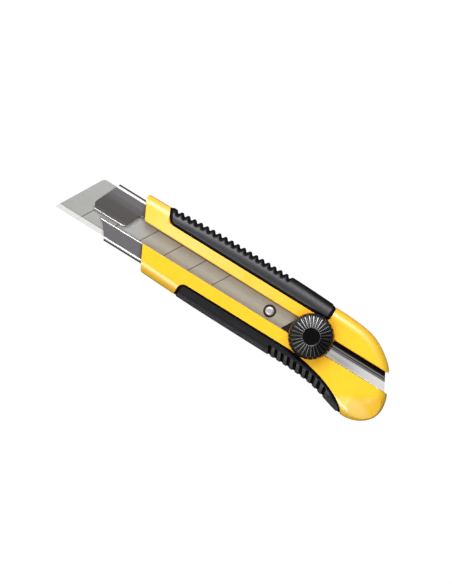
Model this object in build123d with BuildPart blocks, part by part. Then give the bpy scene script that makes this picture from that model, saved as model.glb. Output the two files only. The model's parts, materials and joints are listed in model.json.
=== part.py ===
"""Snap-off knife for 25 mm segmented blades, with a screw-down lock wheel.

Frame: -X towards the blade's point, +Y towards the blade's spine, +Z out of the slotted face.
The knife rests on its flat back, z = 0.  All sizes in millimetres.

Handle: the front shell is a C-section moulding, two rails joined by a wall behind the stainless
channel they carry; a back shell closes its hollow underside, and two soft grips wrap over the
long edges.  Carriage: a carrier under the slot hooks the blade and holds a fixed bolt.  The wheel
is the nut on that bolt: it presses a keyed shoe on the face of the handle and pulls the carrier's
clamp plate up under the channel's flanges.
"""

from build123d import *
import math
import os

os.makedirs("parts", exist_ok=True)

# ---- driving dimensions -------------------------------------------------------------------
THICK = 16.0  # handle thickness
SHOULDER = 6.0  # rolled edge of the shells
PARTING = 6.2  # height of the seam between the shells
SEAM = 0.04  # gap left at the seam
LEAN = 0.50  # how far the raked front face moves to -X for each mm of Y
FRONT_X = -70.95  # X of the raked front face at Y = 0
END_X = 73.3  # X of the channel's raked rear end at Y = 0
END_LEAN = 0.54  # how far that end moves to -X for each mm of Y

CHAN_HALF = 14.4  # channel half width
CHAN_Z0, CHAN_Z1 = 8.5, 13.7  # channel back and top of its flanges
CHAN_MID = (CHAN_Z0 + CHAN_Z1) / 2
SHEET = 0.9  # channel sheet thickness
BEND = 2.4  # channel outer bend radius
TROUGH = 0.65  # depth of the trough along the channel's back

BLADE_W, BLADE_T = 25.0, 0.7
BLADE_HALF = BLADE_W / 2
BLADE_Z0 = 11.75  # underside of the blade
BLADE_Z1 = BLADE_Z0 + BLADE_T
REST_Z = BLADE_Z0 - 0.05  # top of what carries the blade

AXIS_Y = -0.45  # line of the carriage's boss, bolt and wheel
WHEEL = (29.1, AXIS_Y)  # wheel and bolt
HOOK = (4.5, AXIS_Y)  # boss that hooks the blade

SLOT_HIGH, SLOT_LOW = 4.2, -5.1  # edges of the slot at its rear end

# screws: the back shell's into the front shell, and the channel's through the front shell
SHELL_SCREWS = [(-52.0, 7.0), (-52.0, -7.0), (46.0, 9.5), (67.5, -17.6)]
CHAN_SCREWS = [(-40.0, 8.4), (30.0, 8.4)]

# (x, y) outline of the shells in plan, from the front round the butt to the front
SHELL_LINE = [
    (-92, 17.75), (-75, 18.05), (-55, 18.4), (-30, 18.75), (0, 18.95), (25, 18.95),
    (40, 18.75), (48.5, 18.2), (55.5, 16.9), (61.6, 14.35), (66.9, 10.9), (71.3, 6.9),
    (74.3, 2.5), (76.9, -3.1), (78.9, -8.4), (79.6, -13.4), (78.6, -18.1), (75.7, -22.0),
    (71.4, -24.8), (66.5, -26.2), (61.3, -26.1), (56, -24.7), (50, -22.8), (43, -21.0),
    (34, -19.8), (20, -19.25), (0, -19.1), (-20, -19.0), (-40, -18.8), (-55, -18.3),
    (-70, -17.6), (-92, -16.6),
]
# (x, y) outline over the crests of the soft grips, in the same order
GRIP_LINE = [
    (-92, 17.9), (-75, 18.35), (-64, 18.75), (-52, 19.4), (-38, 19.95), (-20, 20.3),
    (0, 20.35), (15, 20.15), (30, 19.6), (40, 19.1), (48.5, 18.4), (55.5, 17.1),
    (61.6, 14.5), (66.9, 11.1), (71.3, 7.1), (74.5, 2.6), (77.1, -3.0), (79.1, -8.3),
    (79.8, -13.4), (78.8, -18.2), (75.9, -22.1), (71.5, -25.0), (66.5, -26.4), (60.9, -26.35),
    (55.5, -25.05), (49.5, -23.3), (43, -21.65), (34, -20.45), (20, -19.95), (0, -19.75),
    (-20, -19.55), (-40, -19.15), (-55, -18.6), (-70, -17.9), (-92, -16.9),
]


# ---- helpers --------------------------------------------------------------------------------
def save(part, name):
    """Label a piece and write its file."""
    part.label = name
    export_step(part, f"parts/{name}.step")


def front_x(y):
    """X of the handle's raked front face at y."""
    return FRONT_X - LEAN * y


def end_x(y):
    """X of the channel's raked rear end at y."""
    return END_X - END_LEAN * y


def inset(points, depth):
    """The same open run of points, moved towards the inside of the handle."""
    moved = []
    for i, (x, y) in enumerate(points):
        before_x, before_y = points[max(i - 1, 0)]
        after_x, after_y = points[min(i + 1, len(points) - 1)]
        run_x, run_y = after_x - before_x, after_y - before_y
        length = math.hypot(run_x, run_y)
        moved.append((x + run_y / length * depth, y - run_x / length * depth))
    return moved


def trough_line(top, bottom, z, depth=TROUGH):
    """Section of the channel's trough; top and bottom are half widths, z is its upper side."""
    return [(-top, z), (-bottom, z - depth), (bottom, z - depth), (top, z)]


def pillow(points, z0, z1, roll):
    """A flat body with a rolled rim, open-ended ahead of the handle's front face."""
    with BuildPart() as body:
        with BuildSketch(Plane.XY.offset(z0)):
            with BuildLine():
                Spline(*points)
                Line(points[-1], points[0])
            make_face()
        extrude(amount=z1 - z0)
        rims = [edge for edge in body.edges() if edge.length > 200]
        fillet(rims, roll)
    return body.part


def block(points, z0, z1, corners=None, radius=0.0):
    """A straight-sided body over a polygon; corners picks the vertices to round."""
    with BuildPart() as body:
        with BuildSketch(Plane.XY.offset(z0)) as flat:
            with BuildLine():
                Polyline(*points, close=True)
            make_face()
            if corners:
                chosen = [
                    vertex
                    for vertex in flat.vertices()
                    if any(math.hypot(vertex.X - x, vertex.Y - y) < 0.02 for x, y in corners)
                ]
                fillet(chosen, radius)
        extrude(amount=z1 - z0)
    return body.part


def discs(radius, z0, z1, *places, bore=0.0):
    """Upright cylinders at the given places, optionally bored through."""
    with BuildPart() as body:
        with BuildSketch(Plane.XY.offset(z0)):
            with Locations(*places):
                Circle(radius)
                if bore:
                    Circle(bore, mode=Mode.SUBTRACT)
        extrude(amount=z1 - z0)
    return body.part


def raked(x0):
    """Everything ahead of the raked front face, moved to cross Y = 0 at x0."""
    reach = 40
    return block(
        [(-200, reach), (x0 - LEAN * reach, reach), (x0 + LEAN * reach, -reach), (-200, -reach)],
        -5, 30,
    )


# ---- plan zones of the grips ----------------------------------------------------------------
GRIP_HIGH, GRIP_LOW = 10.5, -11.65  # inner edges of the spine-side and edge-side grips
LOW_FRONT = -41.8  # front end of the edge-side grip
# (x, y) inner edge of the edge-side grip, swept down to the butt
LOW_CURVE = [
    (24, -11.7), (28.5, -12.15), (33.6, -12.95), (38.7, -14.05), (43.8, -15.35),
    (48.9, -17.1), (53.9, -19.3), (58.6, -22.1), (61.2, -24.4), (63.0, -27.2),
]


def upper_zone(shrink):
    """Plan zone of the spine-side grip."""
    points = [
        (-68.6 + shrink, 26), (-66.1 + shrink * 1.1, 18.2),
        (-62.7 + shrink * 1.2, GRIP_HIGH + shrink), (32.9 - shrink, GRIP_HIGH + shrink),
        (32.6 - shrink, 26),
    ]
    with BuildPart() as zone:
        with BuildSketch(Plane.XY.offset(-1)) as flat:
            with BuildLine():
                Polyline(*points, close=True)
            make_face()
            fillet(flat.vertices().group_by(Axis.Y)[0], 2.0)
        extrude(amount=THICK + 4)
    return zone.part


def lower_zone(shrink):
    """Plan zone of the edge-side grip: straight, then swept down to the butt."""
    curve = [(x - 0.5 * shrink, y - 0.9 * shrink) for x, y in LOW_CURVE]
    front = LOW_FRONT + shrink
    rear = curve[-1][0]
    outside = -30
    with BuildPart() as zone:
        with BuildSketch(Plane.XY.offset(-1)) as flat:
            with BuildLine():
                Line((front, outside), (front, GRIP_LOW - shrink))
                Line((front, GRIP_LOW - shrink), curve[0])
                Spline(*curve)
                Line(curve[-1], (rear, outside))
                Line((rear, outside), (front, outside))
            make_face()
            corner = flat.vertices().group_by(Axis.X)[0].sort_by(Axis.Y)[-1]
            fillet(corner, 3.4)
        extrude(amount=THICK + 4)
    return zone.part


# ---- bodies shared by several pieces --------------------------------------------------------
shell_body = pillow(SHELL_LINE, z0=0, z1=THICK, roll=SHOULDER)
# the shells' core under the grips, and the same with clearance for cutting the grips
core_body = pillow(inset(SHELL_LINE, 1.6), z0=1.0, z1=THICK - 1.0, roll=5.0)
core_clear = pillow(inset(SHELL_LINE, 1.5), z0=0.94, z1=THICK - 0.94, roll=5.06)
grip_body = pillow(GRIP_LINE, z0=0.1, z1=THICK + 0.35, roll=6.2)
groove_floor = pillow(inset(GRIP_LINE, 1.25), z0=1.2, z1=THICK - 0.75, roll=5.2)

# crescent bevel on the lower lobe of the butt: it starts from nothing and deepens rearwards
CRESCENT_X, CRESCENT_Y, CRESCENT_R = 64.3, 1.8, 14.5
# angle round the crescent's centre, height above the face, rise per mm outwards
CRESCENT = [
    (-112, 0.9, 0.05), (-92, 0.02, -0.02), (-70, 0.0, -0.22), (-45, 0.0, -0.36),
    (-20, 0.0, -0.42),
]
with BuildPart() as crescent:
    for angle, lift, slope in CRESCENT:
        out_x, out_y = math.cos(math.radians(angle)), math.sin(math.radians(angle))
        spot = Plane(
            (CRESCENT_X + CRESCENT_R * out_x, CRESCENT_Y + CRESCENT_R * out_y, THICK),
            x_dir=(out_x, out_y, 0),
            z_dir=(out_y, -out_x, 0),
        )
        with BuildSketch(spot):
            with BuildLine():
                Polyline(
                    (-0.9, lift), (0.7, lift + 0.8 * slope), (14, lift + 14 * slope),
                    (14, 6), (-0.9, 6), close=True,
                )
            make_face()
    loft()

# outer corners of the raked face, one on each side of the handle
NOSE_HIGH = (front_x(18.02), 18.02)
NOSE_LOW = (front_x(-17.97), -17.97)

with BuildPart() as handle_solid:
    add(shell_body)
    add(upper_zone(0), mode=Mode.SUBTRACT)
    add(lower_zone(0), mode=Mode.SUBTRACT)
    add(core_body)
    add(raked(FRONT_X), mode=Mode.SUBTRACT)
    # the raked face's outer corners are rounded
    add(
        block(
            [NOSE_HIGH, (-60, 18.4), (-59, 30), (100, 30), (100, -40), (-51, -40),
             (-52, -18.5), NOSE_LOW],
            -2, 30, corners=[NOSE_HIGH, NOSE_LOW], radius=1.8,
        ),
        mode=Mode.INTERSECT,
    )
    # through notch at the open end of the slot
    add(
        block(
            [(end_x(SLOT_HIGH), SLOT_HIGH), (95, SLOT_HIGH), (95, SLOT_LOW),
             (end_x(SLOT_LOW), SLOT_LOW)],
            -2, 30,
        ),
        mode=Mode.SUBTRACT,
    )
    add(crescent.part, mode=Mode.SUBTRACT)

# (x, y) slot through the face, open at both ends, a little narrower behind the wheel
SLOT_LINE = [
    (-95, 5.25), (-60, 5.05), (14, 4.65), (40, SLOT_HIGH), (95, SLOT_HIGH),
    (95, SLOT_LOW), (-95, SLOT_LOW),
]
with BuildPart() as slot_cut:
    add(block(SLOT_LINE, CHAN_Z1 - 1, THICK + 2))
    # edge break along the face
    with BuildSketch(Plane.XY.offset(THICK - 0.4)):
        with BuildLine():
            Polyline(*SLOT_LINE, close=True)
        make_face()
    extrude(amount=0.7, taper=-45)

# ---- seam between the shells ----------------------------------------------------------------
FRONT_EASE = 0.15  # the plates stop this much less short of the front than of the sides
LIP_OUT, LIP_IN = 2.85, 3.95  # outer and inner side of the back shell's lip, as insets
LIP_GAP = 0.1  # clearance of the lip in its groove, on each side

# the butt is left full round the notch at the slot's end
notch_front_high, notch_front_low = end_x(SLOT_HIGH) - 2.6, end_x(SLOT_LOW) - 2.6
notch_room = block(
    [(notch_front_high, SLOT_HIGH + 2.6), (95, SLOT_HIGH + 2.6), (95, SLOT_LOW - 2.6),
     (notch_front_low, SLOT_LOW - 2.6)],
    0, 20,
)


def plate(depth, z0, z1):
    """A flat plate inside the shells' outline, stopped short of the raked front face."""
    points = inset(SHELL_LINE, depth)
    with BuildPart() as flat:
        with BuildSketch(Plane.XY.offset(z0)):
            with BuildLine():
                Spline(*points)
                Line(points[-1], points[0])
            make_face()
        extrude(amount=z1 - z0)
        add(raked(FRONT_X + depth - FRONT_EASE), mode=Mode.SUBTRACT)
    return flat.part


def seam_ring(outer, inner, rise):
    """A ring standing on the seam between two insets of the outline, left off at the notch."""
    with BuildPart() as ring:
        add(plate(outer, PARTING - 0.5, PARTING + rise))
        add(plate(inner, PARTING - 1, PARTING + 2), mode=Mode.SUBTRACT)
        add(notch_room, mode=Mode.SUBTRACT)
    return ring.part


# ---- front shell ---------------------------------------------------------------------------
TUNNEL_GAP = 0.08  # clearance round the channel
BOSS_R = 2.7  # bosses that take the back shell's screws
BOSS_Z0 = 3.5  # their lower end
DEEP_BOSS_Z1 = 12.7  # upper end of the boss in the cored-out butt

# (x, y) plan of the tunnel, stepped to the channel's rear end
TUNNEL_PLAN = [
    (-120, 20), (52.6, 20), (52.6, 16), (70.8, 5.2), (95, 5.2), (95, -5.2),
    (76.4, -5.2), (76.4, -20), (-120, -20),
]
# (x, y) plan of the cored-out butt beside the channel's edge-side wall
CORE_OUT = [
    (42, -16.2), (76, -16.2), (75.0, -18.0), (72.2, -20.9), (68.5, -22.7), (62, -23.0),
    (55, -21.2), (47, -18.9), (42, -17.8),
]

with BuildPart() as tunnel:
    with BuildSketch(Plane.YZ.offset(-110)):
        with Locations((0, CHAN_MID)):
            RectangleRounded(
                2 * (CHAN_HALF + TUNNEL_GAP), CHAN_Z1 - CHAN_Z0 + 2 * TUNNEL_GAP,
                BEND + TUNNEL_GAP,
            )
        with BuildLine():
            Polyline(
                *trough_line(5.4 + 2 * TUNNEL_GAP, 0.7 + TUNNEL_GAP, CHAN_Z0,
                             depth=TROUGH + TUNNEL_GAP),
                close=True,
            )
        make_face()
    extrude(amount=200)
    add(block(TUNNEL_PLAN, -5, 30), mode=Mode.INTERSECT)

with BuildPart() as front_shell:
    add(handle_solid.part)
    with BuildSketch(Plane.XY.offset(-1)):
        Rectangle(400, 200)
    extrude(amount=PARTING + SEAM + 1, mode=Mode.SUBTRACT)
    add(tunnel.part, mode=Mode.SUBTRACT)
    add(slot_cut.part, mode=Mode.SUBTRACT)
    add(block(CORE_OUT, PARTING - 1, 12.4), mode=Mode.SUBTRACT)
    add(discs(BOSS_R, BOSS_Z0, PARTING + 0.2, *SHELL_SCREWS))
    add(discs(BOSS_R, BOSS_Z0, DEEP_BOSS_Z1, SHELL_SCREWS[3]))
    add(discs(1.47, BOSS_Z0 - 0.1, 7.7, *SHELL_SCREWS), mode=Mode.SUBTRACT)
    # holes for the channel's screws and their collars
    add(discs(1.65, PARTING - 1, PARTING + 3, *CHAN_SCREWS), mode=Mode.SUBTRACT)
    add(discs(2.5, 7.25, 9.25, *CHAN_SCREWS), mode=Mode.SUBTRACT)
    # groove for the back shell's lip
    add(seam_ring(LIP_OUT - LIP_GAP, LIP_IN + LIP_GAP, rise=1.15), mode=Mode.SUBTRACT)
save(front_shell.part, "front_shell")

# ---- back shell ----------------------------------------------------------------------------
FLOOR_Z = 2.2  # inside of the back wall
RIB_Z0 = 2.0  # where the stiffening ribs start, sunk in the back wall
RIB_T = 1.2
CROSS_RIBS = (-36, -20, -4, 12, 28)  # X of the ribs that run across the handle

with BuildPart() as back_hollow:
    add(plate(LIP_IN, FLOOR_Z, PARTING + 1))
    add(notch_room, mode=Mode.SUBTRACT)

with BuildPart() as back_shell:
    add(handle_solid.part)
    with BuildSketch(Plane.XY.offset(PARTING)):
        Rectangle(400, 200)
    extrude(amount=30, mode=Mode.SUBTRACT)
    add(back_hollow.part, mode=Mode.SUBTRACT)
    add(seam_ring(LIP_OUT, LIP_IN, rise=1.0))
    # stiffening ribs
    with BuildSketch(Plane.XY.offset(RIB_Z0)):
        for x in CROSS_RIBS:
            with Locations((x, 0)):
                Rectangle(RIB_T, 30.0)
        with Locations((-10, 0)):
            Rectangle(96, RIB_T)
    extrude(amount=PARTING - 0.1 - RIB_Z0)
    # screw seats: pad, clearance hole, head recess
    add(discs(4.3, 1.0, 3.4, *SHELL_SCREWS))
    add(discs(1.6, -0.5, 7.5, *SHELL_SCREWS), mode=Mode.SUBTRACT)
    add(discs(2.85, -0.5, 1.8, *SHELL_SCREWS), mode=Mode.SUBTRACT)
    # room for the channel screws' heads
    add(discs(3.3, 4.0, 8.0, *CHAN_SCREWS), mode=Mode.SUBTRACT)
save(back_shell.part, "back_shell")

# ---- grips ---------------------------------------------------------------------------------
GRIP_GAP = 0.03  # gap round each grip in the shells
# section in plan of one groove, (x, y) from the crest line
UPPER_GROOVE = [(0, -3.7), (0.75, -0.9), (1.25, 1.2), (-1.25, 1.2), (-0.75, -0.9)]
LOWER_GROOVE = [(-0.9, 4.9), (-1.1, 0.4), (-0.9, -1.2), (1.3, -1.2), (0.55, 0.4)]


def line_y(points, x):
    """Y at x on the first stretch of the points that passes x towards +X."""
    for (xa, ya), (xb, yb) in zip(points, points[1:]):
        if xa <= x <= xb:
            return ya + (yb - ya) * (x - xa) / (xb - xa)


def grooves(section, crest_line, first, pitch, count):
    """A row of grooves cut in along a crest line, as deep as the groove floor."""
    with BuildPart() as row:
        with BuildSketch(Plane.XY.offset(-2)):
            for i in range(count):
                x = first + i * pitch
                y = line_y(crest_line, x)
                with BuildLine():
                    Polyline(*[(x + dx, y + dy) for dx, dy in section], close=True)
                make_face()
        extrude(amount=THICK + 4)
        add(groove_floor, mode=Mode.SUBTRACT)
    return row.part


def grip(zone, row):
    """The soft skin over the core inside a plan zone, with its row of grooves."""
    with BuildPart() as skin:
        add(grip_body)
        add(zone, mode=Mode.INTERSECT)
        add(core_clear, mode=Mode.SUBTRACT)
        add(row, mode=Mode.SUBTRACT)
    return skin.part


upper_row = grooves(UPPER_GROOVE, GRIP_LINE, first=-61.07, pitch=3.633, count=19)
# the outline read backwards meets the edge side first
lower_row = grooves(LOWER_GROOVE, GRIP_LINE[::-1], first=14.0, pitch=3.73, count=10)
save(grip(upper_zone(GRIP_GAP), upper_row), "upper_grip")
save(grip(lower_zone(GRIP_GAP), lower_row), "lower_grip")


# ---- screws --------------------------------------------------------------------------------
def pan_screws(places, head_r, head_z, shank_r, shank_z, recess_top, tip=0.0):
    """Pan-head screws, heads down, with a cross recess; tip chamfers the shank's end."""
    with BuildPart() as screws:
        add(discs(head_r, *head_z, *places))
        fillet(screws.faces().sort_by(Axis.Z)[: len(places)].edges(), 0.5)
        add(discs(shank_r, *shank_z, *places))
        if tip:
            chamfer(screws.faces().sort_by(Axis.Z)[-len(places) :].edges(), tip)
        recess_z0 = head_z[0] - 0.4
        with BuildSketch(Plane.XY.offset(recess_z0)):
            with Locations(*places):
                Rectangle(3.0, 0.65)
                Rectangle(0.65, 3.0)
        extrude(amount=recess_top - recess_z0, mode=Mode.SUBTRACT)
    return screws.part


# through the back shell into the front shell's bosses
shell_screws = pan_screws(
    SHELL_SCREWS, head_r=2.7, head_z=(0.4, 1.75), shank_r=1.45, shank_z=(1.7, 7.3),
    recess_top=1.15, tip=0.4,
)
save(shell_screws, "shell_screws")

# through the wall behind the channel into the channel's collars
channel_screws = pan_screws(
    CHAN_SCREWS, head_r=2.75, head_z=(4.55, 6.2), shank_r=1.5, shank_z=(6.0, 9.3),
    recess_top=5.4,
)
save(channel_screws, "channel_screws")

# ---- blade channel -------------------------------------------------------------------------
GAP_TOP, GAP_LOW = 5.8, -4.9  # edges of the two flanges, either side of the gap
NOSE_GAP = -3.2  # edge of the spine-side flange at the nose, where the gap is narrow
NOSE_TIP = (-100.2, 0.3)  # foremost corner
# (x, y) plan of the channel, from the spine side round the nose to the rear end
CHAN_PLAN = [
    (-94.1, 20), (-94.1, 14.4), (-95.4, 11.1), NOSE_TIP, (-98.6, -2.9), (-91.9, -6.15),
    (-88.5, -10.7), (-86.8, -13.3), (-86.3, -14.4), (-86.3, -20), (76.0, -20), (76.0, -5.0),
    (70.5, 5.1), (52.4, 15.9), (52.4, 20),
]
# (x, y) S-curve where the spine-side flange steps back behind the nose
GAP_STEP = [
    (-82.8, NOSE_GAP), (-80.2, -1.9), (-78.7, 0.3), (-77.9, 2.5), (-76.9, 4.6),
    (-75.0, GAP_TOP),
]
# pressed beads that carry the blade at the nose: centre, overall length
BEADS = [((-84.5, 7.5), 17), ((-81.8, -7.5), 11.6)]
BEAD_W = 3.4

with BuildPart() as flange_gap:
    with BuildSketch(Plane.XY.offset(CHAN_Z1 - 1.3)):
        with BuildLine():
            Line((-120, GAP_LOW), (-120, NOSE_GAP))
            Line((-120, NOSE_GAP), GAP_STEP[0])
            Spline(*GAP_STEP, tangents=((1, 0), (1, 0)))
            Line(GAP_STEP[-1], (100, GAP_TOP))
            Line((100, GAP_TOP), (100, GAP_LOW))
            Line((100, GAP_LOW), (-120, GAP_LOW))
        make_face()
    extrude(amount=4)

with BuildPart() as blade_channel:
    # folded C-section with a shallow trough along its back
    with BuildSketch(Plane.YZ.offset(-110)):
        with Locations((0, CHAN_MID)):
            RectangleRounded(2 * CHAN_HALF, CHAN_Z1 - CHAN_Z0, BEND)
        with BuildLine():
            Polyline(*trough_line(5.3, 0.7, CHAN_Z0), close=True)
        make_face()
        with Locations((0, CHAN_MID)):
            RectangleRounded(
                2 * (CHAN_HALF - SHEET), CHAN_Z1 - CHAN_Z0 - 2 * SHEET, BEND - SHEET,
                mode=Mode.SUBTRACT,
            )
        with BuildLine():
            Polyline(*trough_line(5.2, 0.6, CHAN_Z0 + SHEET), close=True)
        make_face(mode=Mode.SUBTRACT)
    extrude(amount=200)
    add(block(CHAN_PLAN, 0, 30, corners=[NOSE_TIP], radius=1.7), mode=Mode.INTERSECT)
    add(flange_gap.part, mode=Mode.SUBTRACT)
    # the flanges' edges along the gap are rolled over
    lips = [
        edge
        for edge in blade_channel.edges().group_by(Axis.Z)[-1]
        if -5.2 < edge.bounding_box().min.Y
        and edge.bounding_box().max.Y < 6
        and edge.length > 4
    ]
    fillet(lips, 0.75)
    # beads, then the hollows pressed up into them from below
    bead_z0 = CHAN_Z0 + SHEET - 0.2
    with BuildSketch(Plane.XY.offset(bead_z0)):
        for centre, length in BEADS:
            with Locations(centre):
                SlotOverall(length, BEAD_W)
    extrude(amount=REST_Z - bead_z0)
    hollow_z0 = CHAN_Z0 - 0.5
    with BuildSketch(Plane.XY.offset(hollow_z0)):
        for centre, length in BEADS:
            with Locations(centre):
                SlotOverall(length - 2 * SHEET, BEAD_W - 2 * SHEET)
    extrude(amount=REST_Z - SHEET - hollow_z0, mode=Mode.SUBTRACT)
    # collars drawn down out of the back, and their bores
    add(discs(2.4, 7.35, 8.75, *CHAN_SCREWS))
    add(discs(1.52, 7.0, 9.6, *CHAN_SCREWS), mode=Mode.SUBTRACT)
save(blade_channel.part, "blade_channel")

# ---- blade ---------------------------------------------------------------------------------
TIP_X = -116.4  # point of the blade, on the cutting edge
TAIL_X = TIP_X + 126.0  # rear end of the cutting edge
SLANT = 1 / math.tan(math.radians(60.5))  # dX/dY of the score lines
SEG_PITCH = 14.35  # distance between score lines along the blade
FIRST_SEG = 13.0  # length of the first segment
SCORES = 6
SCORE_DEPTH = 0.26
SCORE_HALF = 0.36  # half width of a score at the top
GROUND_Y = -10.0  # where the ground edge begins
EDGE_HALF = 0.04  # half thickness left at the cutting edge
BLADE_MID = BLADE_Z0 + BLADE_T / 2


def slant(x, y):
    """X at height y of a line that leans with the scores and crosses the edge at x."""
    return x + SLANT * (y + BLADE_HALF)


with BuildPart() as snap_off_blade:
    with BuildSketch(Plane.XY.offset(BLADE_Z0)):
        with BuildLine():
            Polyline(
                (TIP_X, -BLADE_HALF), (TAIL_X, -BLADE_HALF),
                (slant(TAIL_X, BLADE_HALF), BLADE_HALF),
                (slant(TIP_X, BLADE_HALF) + 0.9, BLADE_HALF),
                (slant(TIP_X, 11.4), 11.4), close=True,
            )
        make_face()
        with Locations(HOOK):
            Circle(3.3, mode=Mode.SUBTRACT)
    extrude(amount=BLADE_T)
    # ground edge, bevelled from both sides
    for face, side in ((BLADE_Z1, 1), (BLADE_Z0, -1)):
        edge_z = BLADE_MID + EDGE_HALF * side
        with BuildSketch(Plane.YZ.offset(-130)):
            with BuildLine():
                Polyline(
                    (GROUND_Y, face), (-BLADE_HALF, edge_z), (-BLADE_HALF - 1, edge_z),
                    (-BLADE_HALF - 1, face + side), (GROUND_Y, face + side), close=True,
                )
            make_face()
        extrude(amount=160, mode=Mode.SUBTRACT)
    # score lines, V-shaped, swept from just outside the cutting edge
    along = Vector(SLANT, 1, 0).normalized()
    across = Vector(1, -SLANT, 0).normalized()
    for i in range(SCORES):
        x = slant(TIP_X + FIRST_SEG + i * SEG_PITCH, -14)
        with BuildSketch(Plane((x, -14, BLADE_Z1), x_dir=across, z_dir=along)):
            with BuildLine():
                Polyline(
                    (-SCORE_HALF, -0.02), (SCORE_HALF, -0.02), (0, SCORE_DEPTH), close=True
                )
            make_face()
        extrude(amount=34, mode=Mode.SUBTRACT)
save(snap_off_blade.part, "snap_off_blade")

# ---- carriage ------------------------------------------------------------------------------
CARRIER_Z0, BLOCK_Z1, NECK_Z1 = 9.5, 12.0, 14.2  # carrier: underside, block top, neck top
CARRIER_HALF = 12.6  # half width of the carrier's block
CARRIER_X, PLATE_X = 17.2, 21.0  # slanted front sides of block and clamp plate at Y = 0
CARRIER_LEAN = 0.566  # dX/dY of those sides
PLATE_LOW = -11.6  # edge-side limit of the clamp plate
NECK_L, NECK_HALF = 17.2, 4.2  # neck length; half width of the neck and of the shoe's key
NECK_CORNER = 1.5  # corner radius of the neck and of the key
BOLT_R = 2.5
BOLT_BORE = BOLT_R + 0.1  # in carrier and shoe
BOLT_HEAD = 7.0  # side of the bolt's square head
SPRING_SEAT_R = 3.5
CLIP_Z = 22.6  # underside of the stop clip

with BuildPart() as blade_carrier:
    with BuildSketch(Plane.XY.offset(CARRIER_Z0)) as base:
        with BuildLine():
            Polyline(
                (CARRIER_X - CARRIER_LEAN * CARRIER_HALF, -CARRIER_HALF),
                (39.5, -CARRIER_HALF), (39.5, 5.5), (27.5, CARRIER_HALF),
                (CARRIER_X + CARRIER_LEAN * CARRIER_HALF, CARRIER_HALF), close=True,
            )
        make_face()
        fillet(base.vertices(), 1.6)
    extrude(amount=BLOCK_Z1 - CARRIER_Z0)
    fillet(blade_carrier.faces().sort_by(Axis.Z)[0].edges(), 0.8)
    # tongue under the blade, with the boss that enters its hole
    with BuildSketch(Plane.XY.offset(CARRIER_Z0)) as tongue:
        with Locations((9.0, 0)):
            Rectangle(24.0, 14.0)
        fillet(tongue.vertices().group_by(Axis.X)[0], 2.5)
    extrude(amount=REST_Z - CARRIER_Z0)
    add(discs(3.1, REST_Z - 0.1, 12.7, HOOK))
    # neck, kept straight by the slot
    with BuildSketch(Plane.XY.offset(BLOCK_Z1 - 0.1)):
        with Locations(WHEEL):
            RectangleRounded(NECK_L, 2 * NECK_HALF, NECK_CORNER)
    extrude(amount=NECK_Z1 - BLOCK_Z1 + 0.1)
    # bolt: square pocket, bore, seat of the release spring
    with BuildSketch(Plane.XY.offset(CARRIER_Z0 - 1)):
        with Locations(WHEEL):
            Rectangle(BOLT_HEAD + 0.1, BOLT_HEAD + 0.1)
    extrude(amount=3.2, mode=Mode.SUBTRACT)
    add(discs(BOLT_BORE, CARRIER_Z0, CARRIER_Z0 + 6, WHEEL), mode=Mode.SUBTRACT)
    add(discs(SPRING_SEAT_R, 13.0, 15.0, WHEEL), mode=Mode.SUBTRACT)
    # rivet hole, and the recess of the rivet's lower head
    add(discs(1.5, CARRIER_Z0 - 1, CARRIER_Z0 + 5, HOOK), mode=Mode.SUBTRACT)
    add(discs(2.7, CARRIER_Z0 - 1, CARRIER_Z0 + 0.8, HOOK), mode=Mode.SUBTRACT)
save(blade_carrier.part, "blade_carrier")

# steel plate that rubs under the flanges
with BuildPart() as clamp_plate:
    with BuildSketch(Plane.XY.offset(BLOCK_Z1 + 0.02)) as plan:
        with BuildLine():
            Polyline(
                (PLATE_X + CARRIER_LEAN * PLATE_LOW, PLATE_LOW), (38.6, PLATE_LOW),
                (38.6, 4.9), (29.3, 10.6), (27.0, 10.6), close=True,
            )
        make_face()
        fillet(plan.vertices(), 0.8)
        with Locations(WHEEL):
            RectangleRounded(
                NECK_L + 0.1, 2 * NECK_HALF + 0.1, NECK_CORNER + 0.05, mode=Mode.SUBTRACT
            )
    extrude(amount=0.75)
save(clamp_plate.part, "clamp_plate")

# lower head, shank and domed upper head: radius, bottom, top
RIVET = [(2.6, 9.6, 10.25), (1.45, 10.0, 12.9), (2.35, 12.72, 13.95)]
with BuildPart() as carrier_rivet:
    for radius, low, high in RIVET:
        add(discs(radius, low, high, HOOK))
    fillet(carrier_rivet.faces().sort_by(Axis.Z)[-1].edges(), 1.15)
save(carrier_rivet.part, "carrier_rivet")

# bolt fixed in the carrier, with a groove for its stop clip
with BuildPart() as clamp_bolt:
    with BuildSketch(Plane.XY.offset(CARRIER_Z0 + 0.05)):
        with Locations(WHEEL):
            RectangleRounded(BOLT_HEAD, BOLT_HEAD, 0.5)
    extrude(amount=2.1)
    add(discs(BOLT_R, 11.0, 23.5, WHEEL))
    chamfer(clamp_bolt.faces().sort_by(Axis.Z)[-1].edges(), 0.3)
    add(discs(BOLT_R + 1, CLIP_Z - 0.05, CLIP_Z + 0.55, WHEEL, bore=2.0), mode=Mode.SUBTRACT)
save(clamp_bolt.part, "clamp_bolt")

# open ring with its mouth towards +X and two round notches inside
with BuildPart() as stop_clip:
    with BuildSketch(Plane.XY.offset(CLIP_Z)):
        with Locations(WHEEL):
            Circle(4.0)
            Circle(2.03, mode=Mode.SUBTRACT)
        with Locations((WHEEL[0] + 3, AXIS_Y)):
            Rectangle(6, 2.6, mode=Mode.SUBTRACT)
        with Locations((WHEEL[0] - 1.9, AXIS_Y + 2.2), (WHEEL[0] - 1.9, AXIS_Y - 2.2)):
            Circle(0.7, mode=Mode.SUBTRACT)
    extrude(amount=0.5)
save(stop_clip.part, "stop_clip")

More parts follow.
